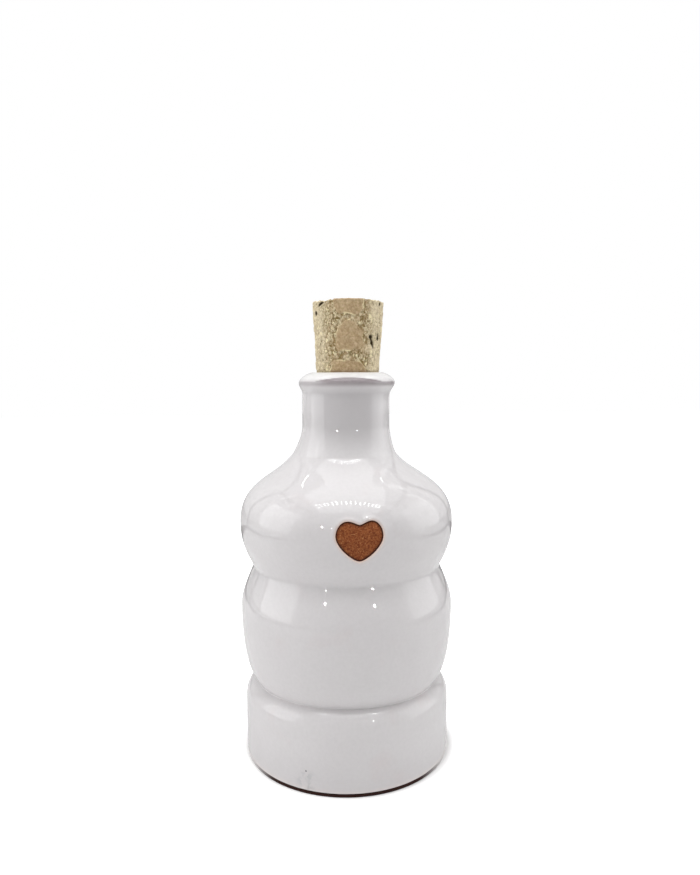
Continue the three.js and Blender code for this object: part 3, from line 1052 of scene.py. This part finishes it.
def terracotta():
    material, tree = new_finish("terracotta")
    where = add(tree, "ShaderNodeTexCoord").outputs["Object"]
    grain = noise_map(tree, where, 1600, 3, 0.6)
    patch = noise_map(tree, where, 420, 2)
    colour = mixed(tree, scaled(tree, grain, 0.38, 0.62), CLAY_DARK, CLAY_LIGHT)
    colour = mixed(tree, scaled(tree, patch, 0.35, 0.65, 0, 0.3), colour, CLAY_PATCH)
    sparkle = scaled(tree, noise_map(tree, where, 2600, 1), 0.64, 0.72, 0, 0.8)
    colour = mixed(tree, sparkle, colour, CLAY_SPARKLE)
    # Darker clay with painted shade just inside the glaze's edge round the heart.
    colour = mixed(tree, scaled(tree, carried(tree, "heart_edge"), 0.06, 0.42), colour, CLAY_EDGE_DARK_AND_SHADE)
    # The bare foot: dark clay with painted shade where it meets the table.
    colour = mixed(tree, carried(tree, "foot"), colour, CLAY_FOOT_DARK_AND_SHADE)
    # The bare foot is made paler at its sides.
    colour = mixed(tree, carried(tree, "paler_sides"), colour, FOOT_SIDE_PALE)
    bump = add(tree, "ShaderNodeBump", {"Height": grain, "Strength": 0.7, "Distance": CLAY_BUMP})
    finish_with(tree, colour, 0.7, bump.outputs["Normal"], 0.2)
    return material


def cork_finish():
    material, tree = new_finish("cork")
    where = add(tree, "ShaderNodeTexCoord").outputs["Object"]
    stretch = add(tree, "ShaderNodeVectorMath", {0: where, 1: UPRIGHT_STRETCH}, operation="MULTIPLY")
    upright_place = stretch.outputs["Vector"]
    loose = carried(tree, "loose")
    colour = mixed(tree, carried(tree, "tone"), CORK_BROWN, CORK_PALE)
    grain = noise_map(tree, where, 1500, 4, 0.65)
    colour = mixed(tree, scaled(tree, grain, 0.42, 0.6, 0, 0.7), colour, CORK_GRAIN)
    patch = noise_map(tree, where, 800, 3, 0.7)
    colour = mixed(tree, scaled(tree, patch, 0.42, 0.6, 0, 0.55), colour, CORK_PATCH)
    pale = noise_map(tree, where, 1100, 3, 0.6)
    colour = mixed(tree, scaled(tree, pale, 0.52, 0.72, 0, 0.4), colour, CORK_CREAM)
    line = times(tree, scaled(tree, noise_map(tree, upright_place, 950, 2), 0.53, 0.58), loose)
    colour = mixed(tree, at_most(tree, line, 0.55), colour, CORK_LINE)
    colour = mixed(tree, scaled(tree, carried(tree, "ridge"), 0.2, 0.9, 0, 0.85), colour, CORK_RIDGE)
    fleck = times(tree, scaled(tree, noise_map(tree, upright_place, 1350, 2), 0.56, 0.64), loose)
    colour = mixed(tree, at_most(tree, fleck, 0.8), colour, CORK_FLECK)
    # Painted light paling the cork's sides.
    colour = mixed(tree, at_most(tree, carried(tree, "aside"), 0.35), colour, CORK_SIDE_PAINTED_LIGHT)
    colour = mixed(tree, scaled(tree, carried(tree, "groove"), 0.3, 0.95, 0, 0.85), colour, CORK_GROOVE)
    colour = mixed(tree, scaled(tree, carried(tree, "pit"), 0.15, 0.6), colour, CORK_PIT)
    # Painted shade where the cork meets the lip.
    colour = mixed(tree, at_most(tree, carried(tree, "at_lip"), 0.45), colour, CORK_LIP_SHADE)
    bump = add(tree, "ShaderNodeBump", {"Height": grain, "Strength": 0.6, "Distance": CORK_BUMP})
    finish_with(tree, colour, 0.85, bump.outputs["Normal"])
    return material


def dress(piece, finish, body, slot, *nodes):
    """Gives a piece its material, the body it moves with and the solids it stands for."""
    piece.data.materials.clear()
    piece.data.materials.append(finish)
    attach(piece, body)
    if nodes:
        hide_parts(*nodes)


# Table, light and camera.

CAMERA_DISTANCE = 249.5 * MM
CAMERA_HEIGHT = 136.9 * MM
CAMERA_PITCH = math.radians(5.36)
CAMERA_YAW = math.radians(0.34)
CAMERA_ROLL = math.radians(-0.2)
FOCAL_PIXELS = 695.3
IMAGE_HEIGHT = 875
SENSOR = 36
BAR_LAMPS = 16
BAR_LENGTH = 0.3
BAR_HEIGHT = 0.4
BAR_LAMP_WIDTH = 0.0045
FRONT_BAR_BOW = 1.2
FRONT_BAR = -0.095
BACK_BAR = 0.12
SMALL_LAMPS = ((-0.094, -0.172, 0.134), (0.074, -0.182, 0.128))
LEFT_FOLDS = ((-0.27, 0.13, 0.45), (-0.33, 0, 0.43), (-0.33, -0.06, 0.28), (-0.32, -0.15, 0.46))
RIGHT_FOLDS = ((0.25, 0.15, 0.45), (0.33, 0.12, 0.43), (0.25, -0.16, 0.45), (0.33, -0.26, 0.37))
ROOM_SIDE = 0.33
ROOM_FRONT = -0.33
ROOM_BACK = 0.28
ROOM_HEIGHT = 0.5
ROOM_SEAM = 0.022
SEAM_ABOVE_TABLE = 0.002
LIGHT_AIM = (0, 0, 0.08)
AMBIENT = 0.43
FRONT_WALL_LEVEL = 0.25
FAR_WALL_LEVEL = 0.7
SHADOW_MIDDLE = (0.8 * MM, 0.9 * MM, 0)
SHADOW_EDGES = (36.9 * MM, 41 * MM)
TABLE_GLOW = 0.7
WHITE = (1, 1, 1, 1)
TABLE_WHITE = (0.9, 0.9, 0.9, 1)
SEAM_BLACK = (0.02, 0.02, 0.02, 1)


def add_camera():
    data = bpy.data.cameras.new("camera")
    data.sensor_fit = "VERTICAL"
    data.sensor_height = SENSOR
    data.lens = FOCAL_PIXELS / IMAGE_HEIGHT * SENSOR
    camera = bpy.data.objects.new("camera", data)
    bpy.context.scene.collection.objects.link(camera)
    place_on_ring = Vector((math.sin(CAMERA_AZIMUTH), -math.cos(CAMERA_AZIMUTH), 0)) * CAMERA_DISTANCE
    turn = Matrix.Rotation(CAMERA_AZIMUTH - CAMERA_YAW, 4, "Z")
    tip = Matrix.Rotation(math.pi / 2 - CAMERA_PITCH, 4, "X")
    roll = Matrix.Rotation(CAMERA_ROLL, 4, "Z")
    stand = Matrix.Translation(place_on_ring + Vector((0, 0, CAMERA_HEIGHT)))
    camera.matrix_world = stand @ turn @ tip @ roll
    bpy.context.scene.camera = camera


def softbox(name, spot, aim, width, height, power, lights_room=True, mirrored=True):
    """A flat lamp that may be left out of the room's light, or out of the reflections in the glaze."""
    data = bpy.data.lights.new(name, "AREA")
    data.shape = "RECTANGLE"
    data.size = width
    data.size_y = height
    data.energy = power
    lamp = bpy.data.objects.new(name, data)
    bpy.context.scene.collection.objects.link(lamp)
    lamp.visible_camera = False
    lamp.visible_diffuse = lights_room
    lamp.visible_glossy = mirrored
    lamp.location = spot
    lamp.rotation_euler = (Vector(aim) - Vector(spot)).to_track_quat("-Z", "Y").to_euler()


def lamp_bar(depth, bow, length, power):
    """A row of small lamps under the ceiling, from left to right, bowed towards the front at its ends."""
    for index in range(BAR_LAMPS):
        across = lerp(-BAR_LENGTH / 2, BAR_LENGTH / 2, index / (BAR_LAMPS - 1))
        turned = depth + across * math.tan(CAMERA_AZIMUTH) - bow * across**2
        spot = (across, turned, BAR_HEIGHT)
        softbox("bar_lamp", spot, (across, turned, 0), BAR_LAMP_WIDTH, length, power)


def add_lights():
    softbox("top_box", (0, -0.15, 0.75), LIGHT_AIM, width=0.7, height=0.7, power=2.25)
    softbox("left_box", (-0.7, -0.05, 0.3), LIGHT_AIM, width=0.6, height=0.6, power=1.75)
    softbox("right_box", (0.7, -0.05, 0.3), LIGHT_AIM, width=0.6, height=0.6, power=1.3)
    softbox("front_fill", (0, -0.9, 0.12), LIGHT_AIM, width=0.5, height=0.2, power=0.6, mirrored=False)
    lamp_bar(FRONT_BAR, FRONT_BAR_BOW, length=0.045, power=0.0135)
    lamp_bar(BACK_BAR, 0, length=0.02, power=0.0045)
    for spot in LEFT_FOLDS + RIGHT_FOLDS:
        softbox("wall_fold", spot, LIGHT_AIM, width=0.025, height=0.12, power=0.012)
    for spot in SMALL_LAMPS:
        aim = (0, 0, spot[2])
        softbox("small_lamp", spot, aim, width=0.006, height=0.004, power=0.014, lights_room=False)


def add_room_seams():
    """Thin dark seams along the edges of the white room, which show in the glaze alone."""
    corners = [(side, depth) for side in (-ROOM_SIDE, ROOM_SIDE) for depth in (ROOM_FRONT, ROOM_BACK)]
    bars = [((side, depth, ROOM_HEIGHT / 2), (0, 0, ROOM_HEIGHT)) for side, depth in corners]
    for height in (SEAM_ABOVE_TABLE, ROOM_HEIGHT):
        for side in (-ROOM_SIDE, ROOM_SIDE):
            bars.append(((side, (ROOM_FRONT + ROOM_BACK) / 2, height), (0, ROOM_BACK - ROOM_FRONT, 0)))
        for depth in (ROOM_FRONT, ROOM_BACK):
            bars.append(((0, depth, height), (2 * ROOM_SIDE, 0, 0)))
    material, tree = new_finish("dark_seam")
    dark = add(tree, "ShaderNodeBsdfDiffuse", {"Color": SEAM_BLACK})
    add(tree, "ShaderNodeOutputMaterial", {"Surface": dark.outputs[0]})
    for spot, run in bars:
        deselect()
        bpy.ops.mesh.primitive_cube_add(size=1, location=spot, scale=[length + ROOM_SEAM for length in run])
        bpy.ops.object.transform_apply(location=True, rotation=True, scale=True)
        seam = bpy.context.object
        seam.name = "room_seam"
        seam.data.materials.append(material)
        seam.visible_camera = False
        seam.visible_diffuse = False
        seam.visible_shadow = False


def background(tree, strength):
    return add(tree, "ShaderNodeBackground", {"Color": WHITE, "Strength": strength}).outputs[0]


def shaders_mixed(tree, factor, first, second):
    return add(tree, "ShaderNodeMixShader", {0: factor, 1: first, 2: second}).outputs[0]


def add_world():
    """A white room that is dimmer in front, and plain white where the camera sees it."""
    world = bpy.data.worlds.new("white_room")
    bpy.context.scene.world = world
    world.use_nodes = True
    tree = world.node_tree
    tree.nodes.clear()
    path = add(tree, "ShaderNodeLightPath")
    rays = {0: path.outputs["Is Glossy Ray"], 1: path.outputs["Is Transmission Ray"]}
    in_mirror = add(tree, "ShaderNodeMath", rays, operation="MAXIMUM").outputs[0]
    facing = add(tree, "ShaderNodeSeparateXYZ", {0: add(tree, "ShaderNodeTexCoord").outputs["Generated"]})
    depth = facing.outputs["Y"]
    dimmer = scaled(tree, depth, -0.9, -0.1, FRONT_WALL_LEVEL, 1)
    far_wall = scaled(tree, depth, 0.5, 0.95, 1, FAR_WALL_LEVEL)
    ambient = background(tree, times(tree, dimmer, AMBIENT))
    mirrored = background(tree, times(tree, dimmer, far_wall))
    room = shaders_mixed(tree, in_mirror, ambient, mirrored)
    seen = shaders_mixed(tree, path.outputs["Is Camera Ray"], room, background(tree, 1))
    add(tree, "ShaderNodeOutputWorld", {"Surface": seen})


def add_table():
    """A white table that the camera sees glow, except in the shadow close to the foot."""
    deselect()
    bpy.ops.mesh.primitive_plane_add(size=4)
    table = bpy.context.object
    table.name = "table"
    material, tree = new_finish("table_white")
    path = add(tree, "ShaderNodeLightPath")
    diffuse = add(tree, "ShaderNodeBsdfDiffuse", {"Color": TABLE_WHITE}).outputs[0]
    where = add(tree, "ShaderNodeTexCoord").outputs["Object"]
    strength = scaled(tree, distance_to(tree, where, SHADOW_MIDDLE), *SHADOW_EDGES, 0, TABLE_GLOW)
    glow = add(tree, "ShaderNodeEmission", {"Color": WHITE, "Strength": strength}).outputs[0]
    lit = add(tree, "ShaderNodeAddShader", {0: diffuse, 1: glow}).outputs[0]
    seen = shaders_mixed(tree, path.outputs["Is Camera Ray"], diffuse, lit)
    add(tree, "ShaderNodeOutputMaterial", {"Surface": seen})
    table.data.materials.append(material)


add_camera()
add_lights()
add_world()
add_table()
add_room_seams()
bpy.context.scene.view_settings.view_transform = "Standard"

dress(glaze_coat(), white_glaze(), "bottle", "white_glaze", "outer_glaze")
dress(lining(), white_glaze("lining_glaze"), "bottle", "lining_glaze", "inner_glaze")
dress(clay_body(), terracotta(), "bottle", "terracotta", "clay_body")
dress(pressed_cork(), cork_finish(), "stopper", "cork", "cork_stopper")
